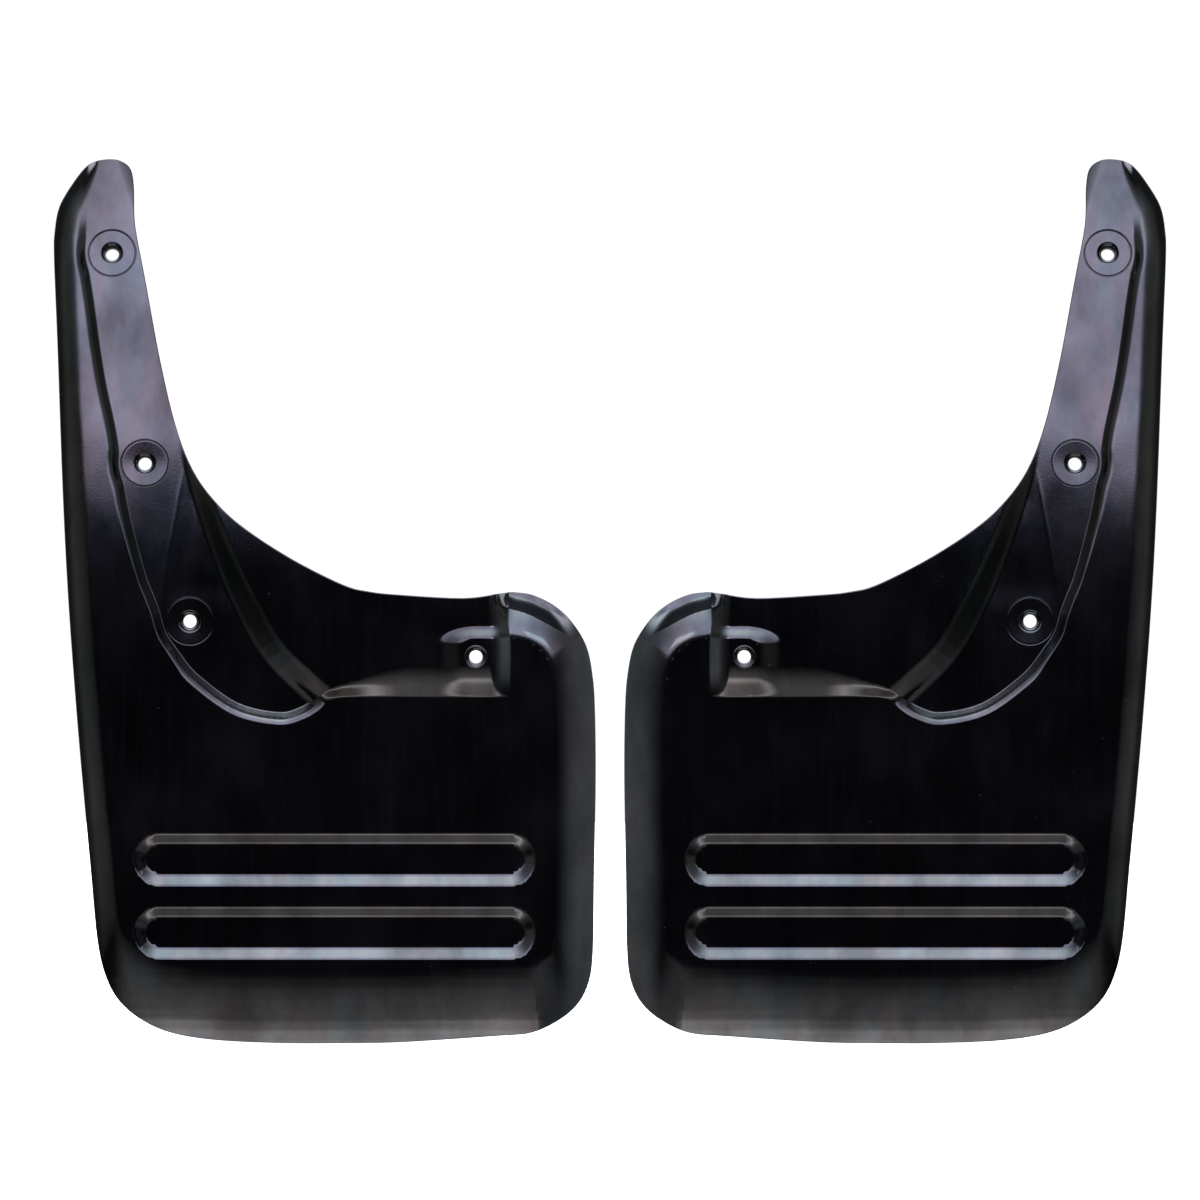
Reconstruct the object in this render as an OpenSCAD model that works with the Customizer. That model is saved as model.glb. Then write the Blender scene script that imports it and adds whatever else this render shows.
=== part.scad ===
// Handed pair of moulded mud flaps, upright as they hang behind the rear wheels.
// x = across the vehicle (0 midway between the flaps), y = back from the front face, z = up.
// Each flap is a mounting section (curved arm and horizontal flange) with four screw seats,
// and a lower panel that flexes about a straight bend line below the flange.

/* [Moulding] */
// Gap between the two flaps at their inboard edges
pair_gap = 16; // [6:1:80]
// Wall thickness of the moulding
wall = 3; // [2:0.25:5]
// How far the arm's recess lies below the panel's face
pocket_depth = 6; // [2:0.5:9]
// How far the horizontal flange stands above the panel's face
flange_rise = 5; // [2:0.5:10]
// Extra height of the pad round the inner screw hole
pad_rise = 3.5; // [1:0.5:8]
// Radius of the backward lean of the arm
lean_radius = 1170; // [800:10:3000]

/* [Rolled edges] */
// How far the rolled edges turn back
roll_depth = 12; // [4:0.5:20]
// Width of the outboard roll
roll_outboard = 14; // [8:0.5:25]
// Width of the inboard roll
roll_inboard = 22; // [8:0.5:30]
// Width of the shallow roll along the bottom edge
roll_bottom = 42; // [15:1:60]
// Width of the shoulder at the inboard top corner
roll_dome = 26; // [12:1:40]
// How far the lip of that corner lies behind the panel's face
lip_depth = 16; // [10:0.5:20]

/* [Channels] */
// Depth of the two horizontal channels
channel_depth = 4.2; // [2:0.1:8]
// Half height of a channel at the panel's face
channel_half = 14.4; // [10:0.1:18]
// Half height of a channel's floor
channel_floor = 9; // [4:0.1:12]
// Height of the upper channel's middle
channel_z1 = 103.8; // [95:0.1:125]
// Height of the lower channel's middle
channel_z2 = 62.6; // [50:0.1:75]

/* [Screw seats] */
// Diameter of the screw holes
hole_d = 7.5; // [5:0.1:9]
// Diameter of the washer seats
seat_d = 28; // [20:0.5:32]
// Diameter of the recess round the hole
recess_d = 12.7; // [9:0.1:16]
// Depth of that recess
recess_depth = 3.2; // [1:0.1:5]
// Length of a seat from its face to its sleeve's end
seat_len = 8; // [5:0.5:14]
// Diameter of a seat's sleeve behind the wall
sleeve_d = 19; // [14:0.5:24]
// Diameter of the plain inner bush
inner_d = 13; // [11:0.5:20]
// Radial gap left round each seat
seat_gap = 0.1; // [0.05:0.05:0.5]

/* [Bend line] */
// Height of the line about which the panel flexes
bend_z = 156; // [130:1:185]
// Largest flex either way, which the clearance at the bend line allows for
flex_deg = 25; // [5:1:35]

/* [Hidden] */
LEFT = -1;
RIGHT = 1;
$fn = 48;
// the profile's own inboard edge stands 8 mm from its datum line
shift_u = pair_gap / 2 - 8;
// the panel's mid-thickness, where the bend axis lies
axis_y = wall / 2;
axis_gap = 0.15;
// puts y = 0 at the middle of the pair's overall depth
mid_y = -21.1;
section_gap = 0.3;
// seats: distance outboard and height
SEAT_TOP = [281.4, 446];
SEAT_MIDDLE = [262.2, 327];
SEAT_BOTTOM = [236.7, 238];
SEAT_INNER = [75.4, 218];
channel_in = 42.4;
channel_out = 267.6;

// ---- outlines, as points [distance outboard, height] that a smooth curve joins ----
curve_steps = 2;
// rolled rim: from the shoulder down the inboard side, along the bottom and up to the arm's tip
SHOULDER = [[52.5, 254.2], [43, 252.5], [31, 246.5], [21.5, 237.5], [13.5, 224.5], [10, 209]];
INBOARD = [[8.5, 190], [8, 150], [9, 90], [9.5, 54], [11.5, 36], [17.5, 23], [28, 13.5]];
BOTTOM = [[44, 6], [65, 4], [118, 0.6], [150, 0.1], [183, 0.1], [220, 1.6], [246, 5.5]];
OUTBOARD = [[263, 12.5], [276, 23], [284, 37], [289, 58], [293, 100], [299.5, 171], [305, 243],
            [308.5, 306], [312, 391], [314.5, 443], [314.5, 458]];
TIP = [[312, 473], [304, 487], [297.5, 495.3], [293, 498]];
RIM = spline(concat(SHOULDER, INBOARD, BOTTOM, OUTBOARD, TIP));
// edge next to the wheel arch: along the flange, round the bend and up the arm
ARCH = spline([[46, 253.5], [60, 254], [82, 251], [120, 253], [136, 254.8], [150, 258.5],
               [178, 272.5], [204.5, 289.5], [221, 304], [235, 323], [245, 348.5],
               [254, 386], [262, 428], [267.5, 456], [269, 468], [269.5, 484],
               [271.5, 494], [277, 498.5], [284, 499.5]]);
// line where the arm's recess and the flange meet the plain panel
WALL_LINE = spline([[292, 505], [299, 458], [294, 416], [288, 376], [281, 343], [275, 304],
                    [265, 265], [259.5, 250.5], [251, 229], [243.5, 216.5], [233.5, 205],
                    [211, 189], [187, 183.5], [173.5, 186.5], [161, 193.5], [150, 195.5],
                    [110, 195.5], [85, 195.4], [74, 195.4], [68, 195.4], [64, 195.4],
                    [60, 197.1], [57.45, 200.9], [56.3, 205], [56, 209], [56, 216],
                    [56, 225], [57.4, 238], [57.4, 247], [57.4, 262]]);
INSIDE = concat(WALL_LINE, [[150, 262], [200, 330], [235, 420], [240, 505]]);
// foot of the slope that rises from the recess to the flange
SLOPE_FOOT = spline([[246.5, 367], [243, 347], [239.5, 327], [233, 304], [222.5, 274],
                     [210.5, 245.5], [193, 215.5], [160, 184]]);
FLANGE_SIDE = concat(SLOPE_FOOT, [[0, 184], [0, 520], [250, 520]]);
// crease of the shoulder, beyond which the surface drops to the lip
CREASE = spline([[62, 246.5], [46, 242], [30, 233.5], [19, 226]]);

// ---- small maths ----
// smooth curve through the points P, with curve_steps steps from each to the next
function spline_point(a, b, c, d, t) =
    0.5 * (2 * b + (c - a) * t + (2 * a - 5 * b + 4 * c - d) * t * t
           + (3 * b - a - 3 * c + d) * t * t * t);
function spline(P) =
    let (n = len(P), Q = concat([2 * P[0] - P[1]], P, [2 * P[n - 1] - P[n - 2]]))
    concat([for (i = [0 : n - 2], k = [0 : curve_steps - 1])
               spline_point(Q[i], Q[i + 1], Q[i + 2], Q[i + 3], k / curve_steps)],
           [P[n - 1]]);
function reversed(L) = [for (i = [len(L) - 1 : -1 : 0]) L[i]];
function clamp(x) = max(0, min(1, x));
function smooth(x) = let (t = clamp(x)) t * t * (3 - 2 * t);
function mix(a, b, t) = a + (b - a) * t;
function from_seg(p, a, b) =
    let (ab = b - a, t = clamp(((p - a) * ab) / (ab * ab))) p - a - ab * t;
// vector from a polyline's nearest point to p
function from_line(p, L) =
    let (v = [for (i = [0 : len(L) - 2]) from_seg(p, L[i], L[i + 1])],
         n = [for (q = v) norm(q)],
         m = min(n))
    [for (i = [0 : len(v) - 1]) if (n[i] == m) v[i]][0];
function crossings(p, L) =
    [for (i = [0 : len(L) - 1])
        let (a = L[i], b = L[(i + 1) % len(L)])
        if ((a[1] > p[1]) != (b[1] > p[1]) &&
            p[0] < (b[0] - a[0]) * (p[1] - a[1]) / (b[1] - a[1]) + a[0]) 1];
function is_inside(p, L) = len(crossings(p, L)) % 2 == 1;
// which side of a polyline p lies on, by its nearest segment
function side_of(p, L) =
    let (v = [for (i = [0 : len(L) - 2]) norm(from_seg(p, L[i], L[i + 1]))],
         m = min(v),
         k = [for (i = [0 : len(v) - 1]) if (v[i] == m) i][0],
         d = L[k + 1] - L[k],
         e = p - L[k])
    sign(d[0] * e[1] - d[1] * e[0]);
// polyline sampled at equal steps of its own length
function lengths(L, i = 0, at = 0) =
    i == len(L) - 1 ? [at] : concat([at], lengths(L, i + 1, at + norm(L[i + 1] - L[i])));
function along(L, f) =
    let (c = lengths(L), s = f * c[len(c) - 1],
         hit = [for (i = [0 : len(L) - 2]) if (s <= c[i + 1] + 1e-6) i],
         k = hit[0])
    mix(L[k], L[k + 1], (s - c[k]) / (c[k + 1] - c[k]));
function resample(L, n) = [for (i = [0 : n]) along(L, i / n)];

// ---- height of the front face above the panel's plane ----
function roll_width(u, n) =
    (n[0] < 0 ? roll_outboard : roll_inboard) * n[0] * n[0] +
    (n[1] > 0 ? roll_bottom : (u < 100 ? roll_dome : roll_outboard)) * n[1] * n[1];
function roll(p) =
    let (v = from_line(p, RIM), d = norm(v),
         n = d < 0.01 ? [1, 0] : v / d,
         t = clamp(1 - d / roll_width(p[0], n)))
    -roll_depth * t * t * (1.3 - 0.3 * t);
function lip(p, base) =
    let (v = from_line(p, CREASE),
         beyond = side_of(p, CREASE) < 0 ? norm(v) : 0,
         near = p[0] < 64 && p[1] > 215 ? 1 : 0)
    mix(base, min(base, -lip_depth - 0.18 * max(beyond - 8, 0)),
        near * smooth(beyond / 8) * smooth((p[0] - 18) / 16));
function floor_level(p) = -pocket_depth - 0.03 * max(p[1] - 470, 0);
function flange_level(p) = mix(flange_rise, -0.5, smooth((p[0] - 165) / 75));
function slope_share(p) =
    smooth((352 - p[1]) / 40) *
    smooth((is_inside(p, FLANGE_SIDE) ? 1 : -1) * norm(from_line(p, SLOPE_FOOT)) /
           mix(13, 8, clamp((p[1] - 210) / 115)));
function box_dist(p, c, h, r) =
    let (q = [abs(p[0] - c[0]) - h[0] + r, abs(p[1] - c[1]) - h[1] + r])
    norm([max(q[0], 0), max(q[1], 0)]) + min(max(q[0], q[1]), 0) - r;
// raised pad round the inner seat, with a long gentle side towards the arm
function pad(p) =
    let (u = min(p[0], mix(80, p[0], 0.44)))
    pad_rise * smooth(-box_dist([u, p[1]], [68.6, 212.5], [18, 21.5], 9) / 6);
function channel(p, zc) =
    let (r = channel_half,
         a = [channel_in + r, zc], b = [channel_out - r, zc],
         d = norm(from_seg(p, a, b)))
    -channel_depth * clamp((r - d) / (r - channel_floor));
// towards its tip the arm's outboard strip comes down to the recess
function tip_drop(p) = -pocket_depth * smooth((p[1] - 438) / 36) * smooth((p[0] - 250) / 20);
function plain(p) =
    lip(p, roll(p)) + channel(p, channel_z1) + channel(p, channel_z2) + tip_drop(p);
// the wall stands clear of the washer seats by this radius
seat_clear = seat_d / 2 + 3;
// the larger of two distances, blended over k where they are nearly equal
function blend_max(a, b, k) = let (h = max(k - abs(a - b), 0) / k) max(a, b) + h * h * k / 4;
// the flange's corner: its inboard side is 8 wide and its lower side 13
function corner_share(p) =
    let (edge = 56 + 1.4 * smooth((p[1] - 225) / 14))
    smooth(1 - norm([max(1 - (p[0] - edge) / 8, 0), max(1 - (p[1] - 195.4) / 13, 0)]));
function wall_share(p) =
    let (d = norm(from_line(p, WALL_LINE)),
         arm = smooth((p[0] - 150) / 15),
         clear = max([for (s = [SEAT_TOP, SEAT_MIDDLE, SEAT_BOTTOM]) seat_clear - norm(p - s)]),
         sd = blend_max(is_inside(p, INSIDE) ? d : -d, clear, 4))
    p[0] < 105 ? corner_share(p) : smooth((sd + 1.6 * arm) / mix(13, 4.8, arm));
function tip_fold(p) =
    let (a = [277.6, 494], b = [268.6, 466.5], e = p - a, d = b - a,
         s = (d[0] * e[1] - d[1] * e[0]) / norm(d))
    p[1] < 462 ? 0 : -3 * pow(clamp(-s / 8), 1.4);
function height(p) =
    mix(plain(p),
        mix(floor_level(p), flange_level(p) + pad(p), slope_share(p)),
        wall_share(p)) + tip_fold(p);
function lean(z) = z > 230 ? pow(z - 230, 2) / (2 * lean_radius) : 0;
function lean_angle(z) = z > 230 ? atan((z - 230) / lean_radius) : 0;
function face_y(p) = lean(p[1]) - height(p);
// wall measured along y, thicker where the face is steep
function wall_y(p) =
    let (e = 0.8,
         gu = (face_y(p + [e, 0]) - face_y(p - [e, 0])) / (2 * e),
         gz = (face_y(p + [0, e]) - face_y(p - [0, e])) / (2 * e))
    wall * min(sqrt(1 + gu * gu + gz * gz), 1.7);

// ---- a closed shell from a grid of [u, z] points ----
function at(i, j, nj) = i * (nj + 1) + j;
function grid_faces(ni, nj) =
    let (b = (ni + 1) * (nj + 1))
    concat(
        [for (i = [0 : ni - 1], j = [0 : nj - 1], h = [0, 1])
            let (p = at(i, j, nj), q = at(i + 1, j, nj), r = at(i + 1, j + 1, nj),
                 s = at(i, j + 1, nj))
            h == 0 ? [p, q, r] : [p, r, s]],
        [for (i = [0 : ni - 1], j = [0 : nj - 1], h = [0, 1])
            let (p = at(i, j, nj) + b, q = at(i + 1, j, nj) + b,
                 r = at(i + 1, j + 1, nj) + b, s = at(i, j + 1, nj) + b)
            h == 0 ? [r, q, p] : [s, r, p]],
        [for (i = [0 : ni - 1], h = [0, 1])
            let (p = at(i, 0, nj), q = at(i + 1, 0, nj))
            h == 0 ? [q, p, p + b] : [q, p + b, q + b]],
        [for (i = [0 : ni - 1], h = [0, 1])
            let (p = at(i + 1, nj, nj), q = at(i, nj, nj))
            h == 0 ? [q, p, p + b] : [q, p + b, q + b]],
        [for (j = [0 : nj - 1], h = [0, 1])
            let (p = at(ni, j, nj), q = at(ni, j + 1, nj))
            h == 0 ? [q, p, p + b] : [q, p + b, q + b]],
        [for (j = [0 : nj - 1], h = [0, 1])
            let (p = at(0, j + 1, nj), q = at(0, j, nj))
            h == 0 ? [q, p, p + b] : [q, p + b, q + b]]);
function turned(F) = [for (f = F) [f[2], f[1], f[0]]];
module shell(front, back, ni, nj, side) {
    faces = grid_faces(ni, nj);
    polyhedron(points = concat(front, back),
               faces = side > 0 ? faces : turned(faces),
               convexity = 10);
}
function place(p, y, side) = [side * (p[0] + shift_u), y + mid_y, p[1]];

// ---- mounting section ----
flange_u = [52.5, 54.6, 56.4, 58.2, 60.2, 64, 69, 75.4, 82, 87, 91.5, 96, 106, 120, 135, 150];
n_dome = 9;
n_flange = len(flange_u) - 1;
n_bend = 15;
n_arm = 32;
n_along = n_dome + n_flange + n_bend + n_arm;
base_z = bend_z + section_gap;
// where the bend starts on the flange, where the arm leaves it and where the arm's top starts
bend_u = 150;
arm_z = 323;
top_u = 277;
// edge next to the wheel arch, from the shoulder along the flange, the bend and the arm
dome_run = concat([for (p = reversed(RIM)) if (p[0] < 52 && p[1] > 208) p],
                  [[52.5, lookup(52.5, ARCH)]]);
bend_run = [for (p = ARCH) if (p[0] >= bend_u && p[1] <= arm_z) p];
arm_run = [for (p = ARCH) if (p[1] >= arm_z && p[0] <= top_u) p];
edge_in = concat(
    resample(dome_run, n_dome),
    [for (k = [1 : n_flange]) [flange_u[k], lookup(flange_u[k], ARCH)]],
    [for (k = [1 : n_bend]) along(bend_run, k / n_bend)],
    [for (k = [1 : n_arm]) along(arm_run, k / n_arm)]);
// outer edge: the bend line, then the outboard edge up to the tip
out_low = [lookup(base_z, [for (p = RIM) if (p[0] > bend_u) [p[1], p[0]]]), base_z];
out_run = concat([out_low], [for (p = RIM) if (p[0] > 290 && p[1] > base_z + 4 && p[1] < 488) p]);
edge_out = concat(
    [for (k = [0 : n_dome]) [mix(8, 52.5, k / n_dome), base_z]],
    [for (k = [1 : n_flange]) [flange_u[k], base_z]],
    [for (k = [1 : n_bend]) [mix(bend_u, out_low[0], k / n_bend), base_z]],
    [for (k = [1 : n_arm]) along(out_run, k / n_arm)]);
// row between them that follows the wall
wall_up = reversed(WALL_LINE);
wall_arm_z = 250.5;
wall_bend = [for (p = wall_up) if (p[0] >= bend_u && p[1] <= wall_arm_z) p];
wall_arm = concat([for (p = wall_up) if (p[0] > 200 && p[1] >= wall_arm_z && p[1] < 459) p],
                  [[298, 470], [294.5, 484], [291.5, 498.4]]);
wall_row = concat(
    [for (k = [0 : n_dome]) [mix(9, 52.5, k / n_dome), mix(189, 195.4, smooth(3 * k / n_dome))]],
    [for (k = [1 : n_flange]) [flange_u[k], 195.4]],
    [for (k = [1 : n_bend]) along(wall_bend, k / n_bend)],
    [for (k = [1 : n_arm]) along(wall_arm, k / n_arm)]);
function inward(k) =
    let (v = edge_in[k] - wall_row[k], w = k <= n_dome + n_flange ? 6.8 : 3.6)
    wall_row[k] + v / norm(v) * min(w, 0.5 * norm(v));
function outward(k) =
    let (v = edge_out[k] - wall_row[k])
    wall_row[k] + v / norm(v) * min(k <= n_dome + n_flange ? 1 : 2, 0.3 * norm(v));
IN_STEPS = [0, 0.07, 0.17, 0.28, 0.39, 0.5, 0.61, 0.72, 0.83, 0.92, 1];
WALL_STEPS = [0.33, 0.67, 1];
OUT_STEPS = [0.14, 0.3, 0.46, 0.6, 0.73, 0.84, 0.93, 1];
n_across = len(IN_STEPS) + len(WALL_STEPS) + len(OUT_STEPS) - 1;
section_grid = [for (k = [0 : n_along])
    let (a = edge_in[k], b = inward(k), c = outward(k), d = edge_out[k])
    each concat([for (t = IN_STEPS) mix(a, b, t)],
                [for (t = WALL_STEPS) mix(b, c, t)],
                [for (t = OUT_STEPS) mix(c, d, t)])];

module at_seat(side, s, lift = 0) {
    translate([side * (s[0] + shift_u), lean(s[1]) - lift + mid_y, s[1]])
        rotate([90 - lean_angle(s[1]), 0, 0])
            children();
}
module mounting_section(side) {
    difference() {
        shell([for (p = section_grid) place(p, face_y(p), side)],
              [for (p = section_grid) place(p, face_y(p) + wall_y(p), side)],
              n_along, n_across, side);
        for (s = [SEAT_TOP, SEAT_MIDDLE, SEAT_BOTTOM])
            at_seat(side, s, -pocket_depth)
                translate([0, 0, -14])
                    cylinder(d = seat_d + 2 * seat_gap, h = 22);
        at_seat(side, SEAT_INNER, flange_rise + pad_rise)
            translate([0, 0, -14])
                cylinder(d = inner_d + 2 * seat_gap, h = 22);
    }
}

// ---- lower panel ----
PANEL_Z = [bend_z, 147, 136, 126,
           118.2, 116.4, 114.6, 112.8, 107, 101, 94.8, 93, 91.2, 89.4,
           83, 77, 75.2, 73.4, 71.6, 65.5, 59.5, 53.6, 51.8, 50, 48.2,
           42, 36, 30, 24, 18.5, 14, 10, 6.8, 4.2, 2.1, 0.7, 0];
PANEL_U = [8.6, 10.4, 12.8, 16, 20, 26, 34, 42.4, 44.2, 46, 47.8, 56.8, 90, 120, 155, 190, 220,
           253.2, 262.2, 264, 265.8, 267.6, 274, 279.5, 283.5, 287, 290, 292, 293.2];
// inboard and outboard edges as [height, distance outboard], ending on the flat bottom edge
IN_BY_Z = concat([[0, 128]],
                 [for (p = RIM) if (p[0] < 150 && p[1] < 200 && p[1] > 0.3) [p[1], p[0]]]);
OUT_BY_Z = concat([[0, 172]],
                  [for (p = RIM) if (p[0] > 150 && p[1] < 200 && p[1] > 0.3) [p[1], p[0]]]);
n_u = len(PANEL_U) - 1;
n_z = len(PANEL_Z) - 1;
panel_w = PANEL_U[n_u] - PANEL_U[0];
panel_grid = [for (u = PANEL_U, z = PANEL_Z)
    [mix(lookup(z, IN_BY_Z), lookup(z, OUT_BY_Z), (u - PANEL_U[0]) / panel_w), z]];
// the top edge falls away from the bend axis, so that the panel can swing either way
function panel_point(p, y, side) =
    let (drop = axis_gap + abs(y - axis_y) * tan(flex_deg + 1))
    [side * (p[0] + shift_u), y + mid_y, p[1] == bend_z ? bend_z - drop : p[1]];
module lower_panel(side) {
    shell([for (p = panel_grid) panel_point(p, face_y(p), side)],
          [for (p = panel_grid) panel_point(p, face_y(p) + wall_y(p), side)],
          n_u, n_z, side);
}

// ---- screw seats ----
module washer_seat(side, s) {
    at_seat(side, s, -pocket_depth)
        rotate_extrude()
            polygon([[hole_d / 2, -seat_len], [sleeve_d / 2, -seat_len], [sleeve_d / 2, -wall],
                     [seat_d / 2, -wall], [seat_d / 2, 0.4], [seat_d / 2 - 0.7, 0.4],
                     [seat_d / 2 - 1.1, 0], [recess_d / 2 + 0.3, -0.9],
                     [recess_d / 2, -1.2], [recess_d / 2, -recess_depth],
                     [hole_d / 2, -recess_depth]]);
}
module inner_seat(side) {
    at_seat(side, SEAT_INNER, flange_rise + pad_rise)
        rotate_extrude()
            polygon([[hole_d / 2, -seat_len], [inner_d / 2, -seat_len], [inner_d / 2, 0.2],
                     [inner_d / 2 - 0.6, 0.2], [inner_d / 2 - 1.2, -0.5],
                     [hole_d / 2, -0.9]]);
}

// ---- the sub-parts ----
module left_mounting_section() {
    color([0.05, 0.05, 0.06]) mounting_section(LEFT);
}
module left_lower_panel() {
    color([0.06, 0.06, 0.07]) lower_panel(LEFT);
}
module left_seat_top() {
    color([0.12, 0.12, 0.13]) washer_seat(LEFT, SEAT_TOP);
}
module left_seat_middle() {
    color([0.12, 0.12, 0.13]) washer_seat(LEFT, SEAT_MIDDLE);
}
module left_seat_bottom() {
    color([0.12, 0.12, 0.13]) washer_seat(LEFT, SEAT_BOTTOM);
}
module left_seat_inner() {
    color([0.12, 0.12, 0.13]) inner_seat(LEFT);
}
module right_mounting_section() {
    color([0.05, 0.05, 0.06]) mounting_section(RIGHT);
}
module right_lower_panel() {
    color([0.06, 0.06, 0.07]) lower_panel(RIGHT);
}
module right_seat_top() {
    color([0.12, 0.12, 0.13]) washer_seat(RIGHT, SEAT_TOP);
}
module right_seat_middle() {
    color([0.12, 0.12, 0.13]) washer_seat(RIGHT, SEAT_MIDDLE);
}
module right_seat_bottom() {
    color([0.12, 0.12, 0.13]) washer_seat(RIGHT, SEAT_BOTTOM);
}
module right_seat_inner() {
    color([0.12, 0.12, 0.13]) inner_seat(RIGHT);
}

left_mounting_section();
left_lower_panel();
left_seat_top();
left_seat_middle();
left_seat_bottom();
left_seat_inner();
right_mounting_section();
right_lower_panel();
right_seat_top();
right_seat_middle();
right_seat_bottom();
right_seat_inner();
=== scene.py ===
"""Looks for the handed pair of moulded mud flaps: a skin per flap, turned screw seats, rubber, light, camera."""

import math

import bpy
import numpy as np
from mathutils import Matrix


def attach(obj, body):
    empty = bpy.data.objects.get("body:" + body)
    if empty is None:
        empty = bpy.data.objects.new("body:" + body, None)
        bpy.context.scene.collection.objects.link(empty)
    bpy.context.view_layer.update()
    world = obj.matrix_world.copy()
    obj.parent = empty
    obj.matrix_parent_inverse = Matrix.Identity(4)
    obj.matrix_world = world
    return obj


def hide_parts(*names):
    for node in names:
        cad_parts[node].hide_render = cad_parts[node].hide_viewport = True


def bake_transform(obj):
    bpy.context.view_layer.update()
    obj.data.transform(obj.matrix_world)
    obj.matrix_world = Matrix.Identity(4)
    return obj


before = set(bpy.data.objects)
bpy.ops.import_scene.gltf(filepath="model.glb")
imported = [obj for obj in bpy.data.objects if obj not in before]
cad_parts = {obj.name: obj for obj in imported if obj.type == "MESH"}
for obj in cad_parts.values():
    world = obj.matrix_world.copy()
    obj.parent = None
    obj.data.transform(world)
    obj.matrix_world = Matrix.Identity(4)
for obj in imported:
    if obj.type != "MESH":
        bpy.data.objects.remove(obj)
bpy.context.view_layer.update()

# sizes in mm, as in the CAD: u runs outboard from between the flaps, z up, y back from the panel's plane
MM = 0.001
MID_Y = -21.1  # the depth shift of the CAD
WALL = 3.0
LEAN_FROM, LEAN_R = 230.0, 1170.0  # the arm leans back above LEAN_FROM on this radius
POCKET, RISE, PAD = 6.0, 5.0, 3.5  # recess depth, flange height, pad height
ROLL, LIP = 12.0, 16.0  # how far the rim and the lip above the crease turn back
W_OUT, W_IN, W_BOT, W_DOME = 14.0, 22.0, 42.0, 26.0  # the rolled rim's width at each side
CH_DEPTH, CH_HALF, CH_FLOOR = 4.2, 14.4, 9.0  # the channels' depth, half height and flat half height
CHANNELS = (103.8, 62.6)
CHANNEL_ENDS = (42.4, 267.6)
BEND_TOP = 156.0  # where the CAD splits the mounting section from the panel
SEATS = {"top": (281.4, 446), "middle": (262.2, 327), "bottom": (236.7, 238), "inner": (75.4, 218)}
BORE_R, SEAT_R, INNER_SEAT_R, SEAT_DEPTH = 3.75, 14.0, 6.5, 8.0
FLANGE_LOW = 195.4  # where the flange's lower side starts
EDGE_IN = 0.5  # the grid stops this far inside the outline, and a rounded edge takes up the rest

# ---------------------------------------------------------------- outlines, in mm: [outboard, up]
SHOULDER = [(52.5, 254.2), (43, 252.5), (31, 246.5), (21.5, 237.5), (13.5, 224.5), (10, 209)]
INBOARD = [(8.5, 190), (8, 150), (9, 90), (9.5, 54), (11.5, 36), (17.5, 23), (28, 13.5)]
BOTTOM = [(44, 6), (65, 4), (118, 0.6), (150, 0.1), (183, 0.1), (220, 1.6), (246, 5.5)]
OUTBOARD = [(263, 12.5), (276, 23), (284, 37), (289, 58), (293, 100), (299.5, 171), (305, 243),
            (308.5, 306), (312, 391), (314.5, 443), (314.5, 458)]
TIP = [(312, 473), (304, 487), (297.5, 495.3), (293, 498)]
ARCH = [(46, 253.5), (60, 254), (82, 251), (120, 253), (136, 254.8), (150, 258.5),
        (178, 272.5), (204.5, 289.5), (221, 304), (235, 323), (245, 348.5),
        (254, 386), (262, 428), (267.5, 456), (269, 468), (269.5, 484),
        (271.5, 494), (277, 498.5), (284, 499.5)]
WALL_LINE = [(292, 505), (299, 458), (294, 416), (288, 376), (281, 343), (275, 304),
             (265, 265), (259.5, 250.5), (251, 229), (243.5, 216.5), (233.5, 205),
             (211, 189), (187, 183.5), (173.5, 186.5), (161, 193.5), (150, 195.5),
             (110, 195.5), (85, 195.4), (74, 195.4), (68, 195.4), (64, 195.4), (60, 197.1),
             (57.45, 200.9), (56.3, 205), (56, 209), (56, 216), (56, 225), (57.4, 238), (57.4, 247),
             (57.4, 262)]
SLOPE_FOOT = [(246.5, 367), (243, 347), (239.5, 327), (233, 304), (222.5, 274),
              (210.5, 245.5), (193, 215.5), (160, 184)]
CREASE = [(62, 246.5), (46, 242), (30, 233.5), (19, 226)]
FLOOR_CREASE = [(239, 330), (242.5, 312), (245, 297), (249, 276), (252.5, 254), (254, 240)]


def spline(points, n=5, closed=False):
    """Smooth curve through the points, with n steps from each to the next."""
    p = np.array(points, float)
    if closed:
        q = np.vstack([p[-1], p, p[:2]])
    else:
        q = np.vstack([2 * p[0] - p[1], p, 2 * p[-1] - p[-2]])
    out = []
    for a, b, c, d in zip(q, q[1:], q[2:], q[3:]):
        for k in range(n):
            t = k / n
            bend = (2 * a - 5 * b + 4 * c - d) * t * t + (3 * b - a - 3 * c + d) * t**3
            out.append(0.5 * (2 * b + (c - a) * t + bend))
    if not closed:
        out.append(q[-2])
    return np.array(out)


RIM = SHOULDER + INBOARD + BOTTOM + OUTBOARD + TIP
OUTLINE = spline(RIM + ARCH[:0:-1], closed=True)
RIM_C = spline(RIM)
WALL_C = spline(WALL_LINE)
FOOT_C = spline(SLOPE_FOOT)
CREASE_C = spline(CREASE)
FLOOR_C = spline(FLOOR_CREASE)
FLANGE_SIDE = np.vstack([FOOT_C, [(0, 184), (0, 520), (250, 520)]])
INSIDE = np.vstack([WALL_C, [(150, 262), (200, 330), (235, 420), (240, 505)]])


# ---------------------------------------------------------------- small maths
def clamp(x, a=0.0, b=1.0):
    return np.minimum(np.maximum(x, a), b)


def smooth(x):
    t = clamp(x)
    return t * t * (3 - 2 * t)


def mix(a, b, t):
    return a + (b - a) * t


def ramp(d, width, r, end_r=None):
    """0 to 1 over width, straight, with the bends at its start and end rounded over r and end_r."""
    def bend(x, r):
        return np.where(x > r, x, np.where(x < -r, 0.0, (x + r) ** 2 / (4 * r)))
    return (bend(d, r) - bend(d - width, r if end_r is None else end_r)) / width


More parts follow.
